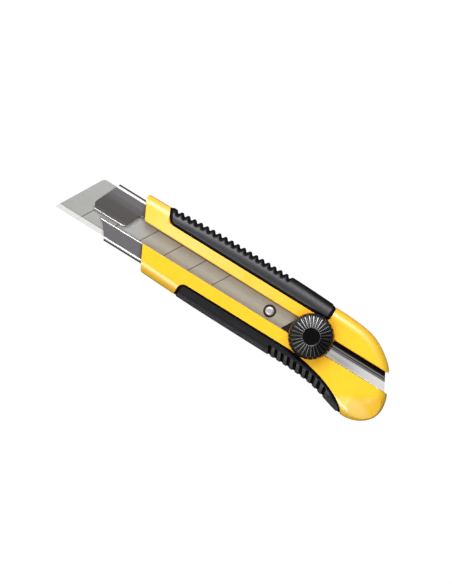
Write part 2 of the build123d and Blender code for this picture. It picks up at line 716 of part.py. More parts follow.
# spring that lifts the shoe off the face when the wheel is slackened
with BuildPart() as release_spring:
    with BuildLine():
        coil = Helix(pitch=0.7, height=2.8, radius=3.05, center=(*WHEEL, 13.3))
    with BuildSketch(Plane(coil @ 0, z_dir=coil % 0)):
        Circle(0.25)
    sweep(is_frenet=True)
save(release_spring.part, "release_spring")

# ---- shoe and washer -----------------------------------------------------------------------
SHOE_Z0, SHOE_Z1 = 16.05, 17.25  # shoe's disc, on the face of the handle

with BuildPart() as slide_shoe:
    with BuildSketch(Plane.XY.offset(SHOE_Z0)):
        with Locations(WHEEL):
            Circle(9.5)
    extrude(amount=SHOE_Z1 - SHOE_Z0)
    chamfer(slide_shoe.edges(), 0.25)
    # key that runs in the slot
    with BuildSketch(Plane.XY.offset(14.6)):
        with Locations(WHEEL):
            RectangleRounded(14.0, 2 * NECK_HALF, NECK_CORNER)
    extrude(amount=2)
    # bolt bore, and the spring's upper seat
    add(discs(BOLT_BORE, 14, 19, WHEEL), mode=Mode.SUBTRACT)
    add(discs(SPRING_SEAT_R, 14, 16.4, WHEEL), mode=Mode.SUBTRACT)
save(slide_shoe.part, "slide_shoe")

save(discs(7.5, 17.3, 17.9, WHEEL, bore=2.7), "thrust_washer")

# ---- lock wheel ----------------------------------------------------------------------------
WHEEL_R = 11.85
WHEEL_TOP = 24.6
CROWN_R = 4.9  # radius of the flat crown
RIM_Z1 = 19.4  # top of the straight rim
FLUTES = 27
FLUTE_DEPTH = 0.75
RUN = 0.05  # running clearance of bolt and insert
INSERT_Z0, INSERT_R = 17.97, 4.0
# shoe room, washer room, seat of the brass insert, cavity over the bolt's end, seat of the cap:
# radius, bottom, top
WHEEL_BORES = [
    (9.8, 16, 17.35), (7.8, 17, 17.95), (4.02, 17, 21.3), (4.2, 21.3, 23.6), (4.33, 23.6, 26),
]


def dome(depth, z0):
    """The wheel's turned outside down to z0, moved in by depth."""
    x = WHEEL[0]
    rim = (x + WHEEL_R - depth, RIM_Z1)
    crown = (x + CROWN_R, WHEEL_TOP - depth)
    with BuildPart() as turned:
        with BuildSketch(Plane.XZ.offset(-AXIS_Y)):
            with BuildLine():
                Polyline(crown, (x, WHEEL_TOP - depth), (x, z0), (x + WHEEL_R - depth, z0), rim)
                ThreePointArc(rim, (x + 9.45 - 0.72 * depth, 22.9 - 0.72 * depth), crown)
            make_face()
        revolve(axis=Axis((x, AXIS_Y, 0), (0, 0, 1)))
    return turned.part


with BuildPart() as flutes:
    with BuildSketch(Plane.XY.offset(16)):
        with Locations(WHEEL):
            with PolarLocations(0, FLUTES):
                with Locations((9.0, 0)):
                    Trapezoid(1.5, 8.0, 87.0, rotation=90)
    extrude(amount=10)
    add(dome(FLUTE_DEPTH, 15), mode=Mode.SUBTRACT)

with BuildPart() as lock_wheel:
    add(dome(0, 16.7))
    chamfer(lock_wheel.faces().sort_by(Axis.Z)[0].edges(), 0.3)
    for radius, low, high in WHEEL_BORES:
        add(discs(radius, low, high, WHEEL), mode=Mode.SUBTRACT)
    add(flutes.part, mode=Mode.SUBTRACT)
save(lock_wheel.part, "lock_wheel")

# brass nut with a groove round its middle
with BuildPart() as wheel_insert:
    add(discs(INSERT_R, INSERT_Z0, INSERT_Z0 + 3.31, WHEEL, bore=BOLT_R + RUN))
    add(discs(INSERT_R + 1, 19.3, 20.0, WHEEL, bore=INSERT_R - 0.4), mode=Mode.SUBTRACT)
save(wheel_insert.part, "wheel_insert")

with BuildPart() as wheel_cap:
    add(discs(4.3, 23.62, 24.37, WHEEL))
    fillet(wheel_cap.faces().sort_by(Axis.Z)[-1].edges(), 0.3)
save(wheel_cap.part, "wheel_cap")
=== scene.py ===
"""Looks for a snap-off knife: materials for the CAD frame, finer soft grips and lock wheel.

The handle lies flat along X, its nose towards -X and its butt towards +X. The spine side is +Y,
the cutting edge side is -Y and +Z faces up. Shapes are in millimetres, the stage is in metres.
"""

import json
import math

import bmesh
import bpy
import numpy as np
from mathutils import Matrix, Vector


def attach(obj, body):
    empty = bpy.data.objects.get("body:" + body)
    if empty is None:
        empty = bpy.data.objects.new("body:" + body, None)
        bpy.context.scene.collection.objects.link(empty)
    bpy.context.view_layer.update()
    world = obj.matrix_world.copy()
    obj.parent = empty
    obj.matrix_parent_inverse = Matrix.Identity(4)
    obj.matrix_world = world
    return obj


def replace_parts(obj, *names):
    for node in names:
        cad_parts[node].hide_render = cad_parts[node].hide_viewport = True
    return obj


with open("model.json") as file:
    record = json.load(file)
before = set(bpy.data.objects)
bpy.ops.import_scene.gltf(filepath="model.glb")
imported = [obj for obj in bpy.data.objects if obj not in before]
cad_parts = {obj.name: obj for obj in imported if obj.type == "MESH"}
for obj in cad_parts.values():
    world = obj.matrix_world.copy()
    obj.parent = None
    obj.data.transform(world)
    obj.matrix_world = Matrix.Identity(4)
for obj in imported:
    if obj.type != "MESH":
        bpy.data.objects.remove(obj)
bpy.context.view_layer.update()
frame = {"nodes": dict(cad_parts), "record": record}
nodes = frame["nodes"]
MM = 0.001  # one millimetre in metres


# =============================================================================================
# shader graph helpers
# =============================================================================================


class Graph:
    """The node tree of a material or a world. Arguments are sockets or plain values."""

    def __init__(self, owner):
        owner.use_nodes = True
        self.tree = owner.node_tree
        self.tree.nodes.clear()

    def add(self, kind, **props):
        node = self.tree.nodes.new(kind)
        for key, value in props.items():
            setattr(node, key, value)
        return node

    def link(self, output, socket):
        self.tree.links.new(output, socket)

    def put(self, value, socket):
        if hasattr(value, "links"):
            self.link(value, socket)
            return
        if isinstance(value, tuple) and len(value) == 3 and socket.type == "RGBA":
            value = (*value, 1.0)
        socket.default_value = value

    def remap(self, value, lo=0.0, hi=1.0, start=0.0, end=1.0, curve="LINEAR"):
        """Runs from start to end as value goes from lo to hi, and holds beyond them."""
        node = self.add("ShaderNodeMapRange", clamp=True, interpolation_type=curve)
        self.put(value, node.inputs["Value"])
        ends = {"From Min": lo, "From Max": hi, "To Min": start, "To Max": end}
        for key, number in ends.items():
            node.inputs[key].default_value = number
        return node.outputs[0]

    def math(self, operation, first, second=0.0):
        node = self.add("ShaderNodeMath", operation=operation)
        self.put(first, node.inputs[0])
        self.put(second, node.inputs[1])
        return node.outputs[0]

    def times(self, first, *others):
        for other in others:
            first = self.math("MULTIPLY", first, other)
        return first

    def vector_math(self, operation, first, second, output):
        node = self.add("ShaderNodeVectorMath", operation=operation)
        self.put(first, node.inputs[0])
        self.put(second, node.inputs[1])
        return node.outputs[output]


class Material(Graph):
    """A Principled material laid out in object coordinates."""

    def __init__(self, name):
        self.material = bpy.data.materials.new(name)
        super().__init__(self.material)
        self.out = self.add("ShaderNodeOutputMaterial")
        self.bsdf = self.add("ShaderNodeBsdfPrincipled")
        self.link(self.bsdf.outputs[0], self.out.inputs["Surface"])
        self.coord = self.add("ShaderNodeTexCoord").outputs["Object"]

    def set(self, name, value):
        self.put(value, self.bsdf.inputs[name])

    def noise(self, scale=1, detail=4, rough=0.6, stretch=None, lo=None, hi=None):
        """Noise, finer along an axis the more it is stretched; lo and hi set its contrast."""
        vector = self.coord
        if stretch:
            vector = self.vector_math("MULTIPLY", vector, stretch, 0)
        node = self.add("ShaderNodeTexNoise")
        self.link(vector, node.inputs["Vector"])
        node.inputs["Scale"].default_value = scale
        node.inputs["Detail"].default_value = detail
        node.inputs["Roughness"].default_value = rough
        output = node.outputs["Fac"]
        return output if lo is None else self.remap(output, lo, hi)

    def remap_mm(self, value, lo, hi, start=0.0, end=1.0):
        return self.remap(value, lo * MM, hi * MM, start, end)

    def above(self, value, mm):
        return self.math("GREATER_THAN", value, mm * MM)

    def below(self, value, mm):
        return self.math("LESS_THAN", value, mm * MM)

    def invert(self, value):
        return self.math("SUBTRACT", 1.0, value)

    def mix(self, factor, low, high):
        node = self.add("ShaderNodeMix", data_type="RGBA", blend_type="MIX")
        self.put(factor, node.inputs[0])
        self.put(low, node.inputs[6])
        self.put(high, node.inputs[7])
        return node.outputs[2]

    def tint(self, base, mask, colour, amount=None):
        """Lays a colour over the base where the mask is."""
        if amount is not None:
            mask = self.times(mask, amount)
        return self.mix(mask, base, colour)

    def component(self, vector, name):
        node = self.add("ShaderNodeSeparateXYZ")
        self.link(vector, node.inputs[0])
        return node.outputs[name]

    def axis(self, name):
        return self.component(self.coord, name)

    def geometry(self, output):
        return self.add("ShaderNodeNewGeometry").outputs[output]

    def normal(self, name="Z"):
        return self.component(self.geometry("Normal"), name)

    def attribute(self, name):
        return self.add("ShaderNodeAttribute", attribute_name=name).outputs["Fac"]

    def openness(self, mm):
        """1 in the open, falling to 0 deep in a hollow."""
        node = self.add("ShaderNodeAmbientOcclusion", samples=4)
        node.inputs["Distance"].default_value = mm * MM
        return node.outputs["AO"]

    def bevel(self, mm, samples=6):
        node = self.add("ShaderNodeBevel", samples=samples)
        node.inputs["Radius"].default_value = mm * MM
        return node.outputs[0]

    def edge(self, mm):
        """How much of an edge this spot is: 0 on flats, 1 on a sharp edge."""
        rounded = self.bevel(mm, samples=4)
        same = self.vector_math("DOT_PRODUCT", rounded, self.geometry("Normal"), "Value")
        return self.remap(self.invert(same), lo=0.02, hi=0.35)

    def bump(self, height, mm, strength, normal=None):
        node = self.add("ShaderNodeBump")
        node.inputs["Strength"].default_value = strength
        node.inputs["Distance"].default_value = mm * MM
        self.put(height, node.inputs["Height"])
        if normal is not None:
            self.link(normal, node.inputs["Normal"])
        return node.outputs[0]


# =============================================================================================
# materials
# =============================================================================================


def yellow_plastic():
    mat = Material("yellow_moulded_plastic")
    x, y = mat.axis("X"), mat.axis("Y")
    cloud = mat.noise(scale=28, lo=0.35, hi=0.65)
    fleck = mat.noise(scale=900, detail=2, rough=0.5, lo=0.35, hi=0.65)
    base = mat.mix(cloud, low=(0.975, 0.540, 0.012), high=(0.985, 0.585, 0.016))
    base = mat.tint(base, fleck, colour=(0.99, 0.78, 0.10), amount=0.06)
    # painted highlight: paler along the spine side towards the nose, where the key light falls
    spine_highlight = mat.times(
        mat.remap_mm(x, lo=20, hi=-60, end=0.55),
        mat.remap_mm(y, lo=2.0, hi=6.0),
        mat.remap_mm(x, lo=-77, hi=-55, start=0.25),
        mat.noise(scale=60, lo=0.1, hi=0.5),
    )
    base = mat.tint(base, spine_highlight, colour=(0.985, 0.76, 0.30))
    # painted highlight: a pale oval on the butt's edge-side shoulder: centre (66.5, -20), half
    # axes 10.5 and 5 mm
    along = mat.times(mat.math("SUBTRACT", x, 66.5 * MM), 1 / (10.5 * MM))
    aside = mat.times(mat.math("ADD", y, 20.0 * MM), 1 / (5.0 * MM))
    oval = mat.math("ADD", mat.times(along, along), mat.times(aside, aside))
    shoulder_highlight = mat.remap(oval, lo=1.0, hi=0.15, end=0.38)
    base = mat.tint(base, shoulder_highlight, colour=(0.985, 0.78, 0.34))
    # painted shade: deeper, warmer colour where the shell turns away
    view = mat.add("ShaderNodeLayerWeight")
    view.inputs["Blend"].default_value = 0.35
    rim = mat.remap(view.outputs["Facing"], lo=0.25, hi=0.9)
    base = mat.tint(base, rim, colour=(0.86, 0.36, 0.004), amount=0.6)
    # painted bounce light and shade: hollows are tinted orange and made to glow, as light bounced
    # between yellow walls would look
    hollow = mat.remap(mat.openness(mm=12), lo=0.35, hi=0.95, start=1.0, end=0.0)
    hollow = mat.times(hollow, mat.remap(mat.normal(), lo=-0.3, hi=0.1))
    base = mat.tint(base, hollow, colour=(0.99, 0.40, 0.012), amount=0.7)
    # edges are rubbed a little paler
    tone_layer = mat.times(mat.edge(mm=0.5), mat.noise(scale=160, detail=3, lo=0.4, hi=0.6))
    base = mat.tint(base, tone_layer, colour=(0.98, 0.80, 0.22), amount=0.35)
    mat.set("Base Color", base)
    # handling marks dull the gloss, and the flats are duller than the rest
    smear = mat.noise(
        scale=45, detail=5, rough=0.65, stretch=(0.5, 1.6, 1.0), lo=0.3, hi=0.7
    )
    flat = mat.remap(mat.normal(), lo=0.975, hi=0.998)
    gloss = mat.remap(smear, start=0.27, end=0.40)
    mat.set("Roughness", mat.math("ADD", gloss, mat.times(flat, 0.25)))
    mat.set("IOR", 1.5)
    mat.set("Specular IOR Level", mat.remap(flat, start=0.5, end=0.25))
    mat.set("Coat Weight", mat.remap(flat, start=1.0, end=0.10))
    mat.set("Coat IOR", 1.75)
    mat.set("Coat Roughness", mat.remap(smear, start=0.16, end=0.28))
    # painted glow: the hollows emit orange light, with no lamp there
    mat.set("Emission Color", (1.0, 0.34, 0.01))
    mat.set("Emission Strength", mat.times(hollow, 0.24))
    mat.set("Subsurface Weight", 0.06)
    mat.set("Subsurface Radius", (0.004, 0.0025, 0.0006))
    mat.set("Subsurface Scale", 0.3)
    waves = mat.noise(scale=38, detail=2, rough=0.5)
    normal = mat.bump(waves, mm=0.25, strength=0.12, normal=mat.bevel(mm=0.35))
    spark = mat.noise(scale=2600, detail=2)
    mat.set("Normal", mat.bump(spark, mm=0.02, strength=0.35, normal=normal))
    return mat.material


def rubber(name, low, high, dusty, level, rough, sheen):
    mat = Material(name)
    cloud = mat.noise(scale=70, lo=0.3, hi=0.7)
    dust = mat.noise(scale=420, rough=0.65, lo=0.52, hi=0.75)
    base = mat.mix(cloud, low, high)
    base = mat.tint(base, dust, dusty, amount=0.30)
    base = mat.tint(base, mat.edge(mm=0.6), dusty, amount=0.20)
    # painted shade: the lowered border, and whatever the grip's tones mark black, is painted near
    # black; the border is smooth, the pad is textured and paler
    rim = mat.attribute("rim")
    # painted highlight: where the grip's paler mark is set, the rubber is painted paler in specks
    speckled_highlight = mat.times(mat.attribute("painted_highlight"), mat.noise(scale=800, lo=0.15, hi=0.6))
    base = mat.tint(base, speckled_highlight, colour=(0.098, 0.093, 0.101))
    base = mat.tint(base, rim, colour=(0.003, 0.003, 0.003))
    mat.set("Base Color", base)
    mat.set("Roughness", mat.remap(cloud, start=rough, end=rough + 0.12))
    mat.set("Specular IOR Level", mat.remap(rim, start=level, end=0.05))
    mat.set("Sheen Weight", mat.remap(rim, start=sheen, end=0.0))
    mat.set("Sheen Roughness", 0.2)
    grain = mat.add("ShaderNodeTexVoronoi")
    mat.link(mat.coord, grain.inputs["Vector"])
    grain.inputs["Scale"].default_value = 1500
    normal = mat.bump(grain.outputs["Distance"], mm=0.06, strength=0.5)
    fine = mat.noise(scale=3600, detail=2, rough=0.5)
    mat.set("Normal", mat.bump(fine, mm=0.02, strength=0.4, normal=normal))
    return mat.material


FLANGE_Z = 11.0  # the channel's flanges and folds lie above this height (mm)


def flange_painted_shading(mat, base, y, z):
    """Painted reflections and shade on the channel's flat flanges and the folds beside them."""
    # painted reflection: the flats are duller and warmer near the gap, brighter near the fold
    flat = mat.times(mat.above(z, 13.6), mat.math("GREATER_THAN", mat.normal(), 0.985))
    from_gap = mat.math("ABSOLUTE", mat.math("SUBTRACT", y, 2.0 * MM))
    outward = mat.remap_mm(from_gap, lo=2.5, hi=7.6)
    tone_layer = mat.mix(outward, low=(0.49, 0.455, 0.45), high=(0.80, 0.76, 0.80))
    base = mat.tint(base, flat, tone_layer)
    # painted shade where the flanges enter the shell's mouth, darker where the shell closes over
    # them
    closed = mat.remap(mat.openness(mm=2.5), lo=0.45, hi=0.92, start=0.75, end=0.0)
    mouth = mat.times(mat.above(z, FLANGE_Z), closed)
    mouth = mat.times(mouth, mat.remap_mm(mat.axis("X"), lo=-82, hi=-76))
    base = mat.tint(base, mouth, colour=(0.10, 0.09, 0.09))
    # painted shade: a dark strip on the spine side, off the flats
    length = mat.remap_mm(mat.axis("X"), lo=-79.2, hi=-78.4)
    strip = mat.times(length, mat.remap_mm(y, lo=8.0, hi=7.4))
    inner_side = mat.times(mat.remap_mm(y, lo=4.6, hi=5.2), mat.above(z, FLANGE_Z))
    strip = mat.times(strip, inner_side, mat.invert(flat))
    base = mat.tint(base, strip, colour=(0.10, 0.095, 0.09), amount=0.85)
    # painted shade: the turned lip on the edge side is a touch darker
    from_lip = mat.math("ABSOLUTE", mat.math("ADD", y, 3.9 * MM))
    turned = mat.times(mat.above(z, 12.6), mat.invert(flat))
    lip = mat.times(mat.remap_mm(from_lip, lo=2.6, hi=2.2), turned)
    return mat.tint(base, lip, colour=(0.10, 0.10, 0.10), amount=0.15)


def trough_painted_shading(mat, base, y, z):
    """Painted shade and reflections in the bottom of the channel."""
    deep = mat.below(z, 10.0)
    # painted shade on the trough's spine side, under the slot's upper wall, left lighter along a
    # line
    lean = mat.remap(mat.normal("Y"), lo=-0.10, hi=-0.02, start=1.0, end=0.0)
    from_line = mat.math("ABSOLUTE", mat.math("SUBTRACT", y, 1.35 * MM))
    line = mat.remap_mm(from_line, lo=0.15, hi=0.55, start=1.0, end=0.0)
    spine_side_shade = mat.times(lean, deep, mat.remap(line, start=0.97, end=0.0))
    base = mat.tint(base, spine_side_shade, colour=(0.035, 0.024, 0.020))
    # painted shadow: near black along the spine-side wall
    wall_shadow = mat.times(deep, mat.remap_mm(y, lo=2.1, hi=2.6))
    base = mat.tint(base, wall_shadow, colour=(0.018, 0.008, 0.005), amount=0.9)
    # painted reflection: the wall's yellow shows along the trough's -Y edge
    glow = mat.times(deep, mat.remap_mm(y, lo=-4.0, hi=-4.6))
    base = mat.tint(base, glow, colour=(0.86, 0.84, 0.50), amount=0.7)
    # painted reflection: the -Y half is duller in patches towards the nose and bright at the butt
    # end
    low_half = mat.times(deep, mat.remap_mm(y, lo=0.4, hi=-0.4))
    dull = mat.times(low_half, mat.remap_mm(mat.axis("X"), lo=62, hi=48))
    patchiness = mat.noise(detail=3, rough=0.5, stretch=(10, 700, 700), lo=0.35, hi=0.65)
    dull = mat.times(dull, mat.remap(patchiness, start=0.15, end=0.75))
    base = mat.tint(base, dull, colour=(0.36, 0.33, 0.33))
    tail = mat.times(low_half, mat.remap_mm(mat.axis("X"), lo=52, hi=70))
    return mat.tint(base, tail, colour=(1.0, 0.97, 0.96), amount=0.8)


def stainless_channel():
    mat = Material("bright_rolled_stainless")
    y, z = mat.axis("Y"), mat.axis("Z")
    streak = mat.noise(detail=5, stretch=(18, 1500, 1500), lo=0.3, hi=0.7)
    band = mat.noise(detail=3, rough=0.5, stretch=(6, 420, 420), lo=0.3, hi=0.7)
    base = mat.mix(streak, low=(0.58, 0.57, 0.58), high=(0.74, 0.74, 0.75))
    # rolled edges are burnished
    turned = mat.times(mat.above(z, FLANGE_Z), mat.remap(mat.normal(), lo=0.985, hi=0.96))
    base = mat.tint(base, turned, colour=(0.95, 0.945, 0.95))
    base = mat.tint(base, band, colour=(0.82, 0.815, 0.81), amount=0.25)
    base = flange_painted_shading(mat, base, y, z)
    base = trough_painted_shading(mat, base, y, z)
    mat.set("Base Color", base)
    mat.set("Metallic", 1.0)
    # faces turned down are matt
    downward = mat.remap(mat.normal(), lo=0.0, hi=-0.4)
    bright = mat.remap(streak, start=0.12, end=0.20)
    mat.set("Roughness", mat.mix(downward, low=bright, high=(0.5, 0.5, 0.5)))
    mat.set("Normal", mat.bump(streak, mm=0.006, strength=0.5))
    return mat.material


def blade_steel():
    mat = Material("ground_blade_steel")
    y, z = mat.axis("Y"), mat.axis("Z")
    ground = mat.below(y, -10.02)
    grain = mat.noise(stretch=(2400, 90, 2400), lo=0.2, hi=0.8)
    rolled = mat.noise(stretch=(60, 1400, 1400), lo=0.3, hi=0.7)
    stain = mat.noise(scale=55, detail=5, lo=0.45, hi=0.75)
    body = mat.mix(rolled, low=(0.345, 0.348, 0.338), high=(0.395, 0.398, 0.386))
    # painted reflection: inside the handle, wherever the blade is slid to, the yellow walls'
    # brown cast is painted on the blade
    scene_x = mat.component(mat.geometry("Position"), "X")
    inside = mat.times(mat.remap_mm(scene_x, lo=-76, hi=-60), 0.75)
    brown = mat.mix(rolled, low=(0.342, 0.315, 0.245), high=(0.392, 0.360, 0.280))
    body = mat.tint(body, inside, brown)
    # painted light and shadow along the spine: a pale band, then a dark shadow line under the
    # slot's upper edge
    band = mat.times(mat.remap_mm(y, lo=0.6, hi=2.8), mat.remap_mm(y, lo=4.35, hi=4.1))
    band = mat.times(inside, band)
    body = mat.tint(body, band, colour=(0.57, 0.515, 0.41), amount=0.75)
    lip_shadow = mat.times(inside, mat.remap_mm(y, lo=4.15, hi=4.5))
    body = mat.tint(body, lip_shadow, colour=(0.10, 0.08, 0.012), amount=0.95)
    body = mat.tint(body, stain, colour=(0.36, 0.32, 0.29), amount=0.30)
    edge = mat.mix(grain, low=(0.66, 0.665, 0.64), high=(0.73, 0.735, 0.71))
    base = mat.mix(ground, body, edge)
    # grinding burr where the bevel starts
    from_burr = mat.math("ABSOLUTE", mat.math("ADD", y, 9.85 * MM))
    burr = mat.remap_mm(from_burr, lo=0.05, hi=0.32, start=0.55, end=0.0)
    base = mat.tint(base, burr, colour=(0.17, 0.165, 0.16))
    # oxide in the score lines
    sunk = mat.remap_mm(z, lo=12.30, hi=12.43, start=1.0, end=0.0)
    sunk = mat.times(sunk, mat.above(z, 12.10), mat.invert(ground))
    base = mat.tint(base, sunk, colour=(0.06, 0.05, 0.042), amount=0.62)
    mat.set("Base Color", base)
    mat.set("Metallic", 0.14)
    mat.set("Specular IOR Level", 0.30)
    body_rough = mat.remap(rolled, start=0.50, end=0.62)
    ground_rough = mat.remap(grain, start=0.34, end=0.44)
    mat.set("Roughness", mat.mix(ground, body_rough, ground_rough))
    height = mat.mix(ground, rolled, grain)
    mat.set("Normal", mat.bump(height, mm=0.004, strength=0.4, normal=mat.bevel(mm=0.06)))
    return mat.material


def black_plastic(name, tone, rough, level, grain_scale=2400, grain=0.3, coat=0.0, wear=0.3):
    """Black plastic; a coat, if any, and the highlights with it, lie on upward faces only."""
    mat = Material(name)
    cloud = mat.noise(scale=120, lo=0.3, hi=0.7)
    low = (tone, tone * 0.93, tone * 0.98)
    base = mat.mix(cloud, low, high=(tone * 1.6, tone * 1.5, tone * 1.6))
    tone_layer = mat.times(mat.edge(mm=0.3), mat.noise(scale=300, detail=3, lo=0.4, hi=0.65))
    base = mat.tint(base, tone_layer, colour=(0.07, 0.07, 0.075), amount=wear)
    if coat:
        crown = mat.remap(mat.normal(), lo=0.15, hi=0.55)
        level = mat.times(crown, level)
        coat = mat.times(crown, coat)
    mat.set("Base Color", base)
    mat.set("Roughness", mat.remap(cloud, start=rough[0], end=rough[1]))
    mat.set("Specular IOR Level", level)
    mat.set("Coat Weight", coat)
    mat.set("Coat Roughness", 0.14)
    fine = mat.noise(scale=grain_scale, detail=2, rough=0.5)
    mat.set("Normal", mat.bump(fine, mm=0.02, strength=grain, normal=mat.bevel(mm=0.15)))
    return mat.material


def plain_metal(name, low, high, rough, metallic=1.0):
    mat = Material(name)
    tone = mat.noise(stretch=(300, 300, 300), lo=0.3, hi=0.7)
    spot = mat.noise(scale=240, lo=0.5, hi=0.8)
    base = mat.mix(tone, low, high)
    base = mat.tint(base, spot, colour=tuple(part * 0.6 for part in low), amount=0.3)
    mat.set("Base Color", base)
    mat.set("Metallic", metallic)
    mat.set("Roughness", mat.remap(tone, start=rough[0], end=rough[1]))
    mat.set("Normal", mat.bump(tone, mm=0.008, strength=0.4, normal=mat.bevel(mm=0.12)))
    return mat.material


def white_acetal():
    mat = Material("white_acetal")
    cloud = mat.noise(scale=260, detail=3, lo=0.3, hi=0.7)
    mat.set("Base Color", mat.mix(cloud, low=(0.74, 0.72, 0.66), high=(0.82, 0.81, 0.76)))
    mat.set("Roughness", mat.remap(cloud, start=0.35, end=0.5))
    mat.set("Subsurface Weight", 0.1)
    mat.set("Subsurface Scale", 0.002)
    fine = mat.noise(scale=1800, detail=2, rough=0.5)
    mat.set("Normal", mat.bump(fine, mm=0.01, strength=0.4))
    return mat.material


MATERIALS = {
    "shell_yellow": yellow_plastic(),
    "grip_black": rubber(
        "black_soft_grip", low=(0.009, 0.009, 0.013), high=(0.015, 0.0145, 0.021),
        dusty=(0.026, 0.025, 0.032), level=0.85, rough=0.38, sheen=0.03,
    ),
    "grip_black_dull": rubber(
        "black_soft_grip_dull", low=(0.004, 0.0035, 0.005), high=(0.008, 0.007, 0.009),
        dusty=(0.020, 0.018, 0.022), level=0.22, rough=0.48, sheen=0.50,
    ),
    "channel_steel": stainless_channel(),
    "blade_steel": blade_steel(),
    "carrier_black": black_plastic(
        "black_carrier_plastic", tone=0.012, rough=(0.42, 0.55), level=0.3
    ),
    "wheel_black": black_plastic(
        "black_wheel_plastic", tone=0.004, rough=(0.16, 0.26), level=1.0,
        grain_scale=2000, grain=0.2, coat=1.0, wear=0.1,
    ),
    "cap_black": black_plastic(
        "black_cap_plastic", tone=0.0020, rough=(0.6, 0.75), level=0.05,
        grain_scale=2600, grain=0.5, wear=0.06,
    ),
    "washer_white": white_acetal(),
    "plated_steel": plain_metal(
        "zinc_plated_steel", low=(0.52, 0.53, 0.54), high=(0.68, 0.68, 0.67), rough=(0.28, 0.42)
    ),
    "rivet_steel": plain_metal(
        "polished_rivet", low=(0.66, 0.66, 0.67), high=(0.76, 0.75, 0.74), rough=(0.26, 0.36),
        metallic=0.60,
    ),
    "spring_steel": plain_metal(
        "spring_wire", low=(0.36, 0.36, 0.38), high=(0.52, 0.52, 0.53), rough=(0.3, 0.4)
    ),
    "insert_brass": plain_metal(
        "turned_brass", low=(0.62, 0.42, 0.13), high=(0.78, 0.58, 0.24), rough=(0.22, 0.34)
    ),
}

slot_of = {row["node"]: row["material_slot"] for row in frame["record"]["subparts"]}
for name, obj in nodes.items():
    obj.data.materials.clear()
    obj.data.materials.append(MATERIALS[slot_of[name]])
    obj.data.shade_smooth()


# =============================================================================================
# mesh helpers
# =============================================================================================


def spline_points(points, count):
    """Dense samples of the natural cubic spline through points, over chord length."""
    points = np.array(points, float)
    chord = np.hypot(*np.diff(points, axis=0).T)
    knots = np.concatenate([[0], np.cumsum(chord)])
    size = len(points)
    system = np.eye(size)
    rhs = np.zeros((size, 2))
    for i in range(1, size - 1):
        before, after = chord[i - 1], chord[i]
        system[i, i - 1 : i + 2] = before, 2 * (before + after), after
        rhs[i] = 6 * ((points[i + 1] - points[i]) / after - (points[i] - points[i - 1]) / before)
    bend = np.linalg.solve(system, rhs)
    at = np.linspace(0, knots[-1], count)
    i = np.clip(np.searchsorted(knots, at) - 1, 0, size - 2)
    span = chord[i][:, None]
    done = (at - knots[i])[:, None]
    left = span - done
    return (
        bend[i] * left**3 / (6 * span)
        + bend[i + 1] * done**3 / (6 * span)
        + (points[i] / span - bend[i] * span / 6) * left
        + (points[i + 1] / span - bend[i + 1] * span / 6) * done
    )


def smooth(lo, hi, value):
    """Smooth step from 0 at lo to 1 at hi."""
    t = np.clip((value - lo) / (hi - lo), 0.0, 1.0)
    return t * t * (3 - 2 * t)


def mesh_object(name, verts, faces, body, marks, finish):
    """A smooth quad mesh from points in mm, riding on a body; marks are point attributes."""
    mesh = bpy.data.meshes.new(name)
    verts = np.asarray(verts, np.float32).reshape(-1, 3) * MM
    faces = np.asarray(faces, np.int32).reshape(-1, 4)
    mesh.vertices.add(len(verts))
    mesh.vertices.foreach_set("co", verts.ravel())
    mesh.loops.add(faces.size)
    mesh.loops.foreach_set("vertex_index", faces.ravel())
    mesh.polygons.add(len(faces))
    mesh.polygons.foreach_set("loop_start", np.arange(0, faces.size, 4, dtype=np.int32))
    for mark, values in marks.items():
        layer = mesh.attributes.new(mark, "FLOAT", "POINT")
        layer.data.foreach_set("value", np.asarray(values, np.float32).ravel())
    mesh.update(calc_edges=True)
    mesh.validate()
    bm = bmesh.new()
    bm.from_mesh(mesh)
    bmesh.ops.recalc_face_normals(bm, faces=bm.faces)
    bm.to_mesh(mesh)
    bm.free()
    mesh.shade_smooth()
    obj = bpy.data.objects.new(name, mesh)
    bpy.context.scene.collection.objects.link(obj)
    mesh.materials.append(MATERIALS[finish])
    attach(obj, body)
    return obj


# =============================================================================================
# soft grips
# =============================================================================================
# line over the crests of the grips, from the nose round the butt and back: x, y (mm)
GRIP_LINE = [
    (-92, 17.9), (-75, 18.35), (-64, 18.75), (-52, 19.4), (-38, 19.95), (-20, 20.3),
    (0, 20.35), (15, 20.15), (30, 19.6), (40, 19.1), (48.5, 18.4), (55.5, 17.1),
    (61.6, 14.5), (66.9, 11.1), (71.3, 7.1), (74.5, 2.6), (77.1, -3.0), (79.1, -8.3),
    (79.8, -13.4), (78.8, -18.2), (75.9, -22.1), (71.5, -25.0), (66.5, -26.4), (60.9, -26.35),
    (55.5, -25.05), (49.5, -23.3), (43, -21.65), (34, -20.45), (20, -19.95), (0, -19.75),
    (-20, -19.55), (-40, -19.15), (-55, -18.6), (-70, -17.9), (-92, -16.9),
]
TOP, BOTTOM, ROLL_R = 16.35, 0.1, 6.2  # height range, and radius of the rolled long edges
MID_Z = (TOP + BOTTOM) / 2
WALL = (TOP - BOTTOM) / 2 - ROLL_R  # half height of the straight side wall
ARC = ROLL_R * math.pi / 2
RIM_WIDTH, RIM_SINK = 1.4, 0.5  # lowered border round each grip
CORNER_R = 2.4  # rounding of the border's corners
EDGE_WIDTH, EDGE_SINK = 0.3, 0.22  # outermost edge, rounded down to the shell
THICK, THINNER = 1.72, 0.46  # depth of the pad's underside, and how much less deep inside

line = spline_points(GRIP_LINE, 9000)
line_way = np.gradient(line, axis=0)
line_way /= np.hypot(line_way[:, 0], line_way[:, 1])[:, None]
line_normal = np.stack([line_way[:, 1], -line_way[:, 0]], axis=1)  # into the handle
butt_end = int(np.argmax(line[:, 0]))


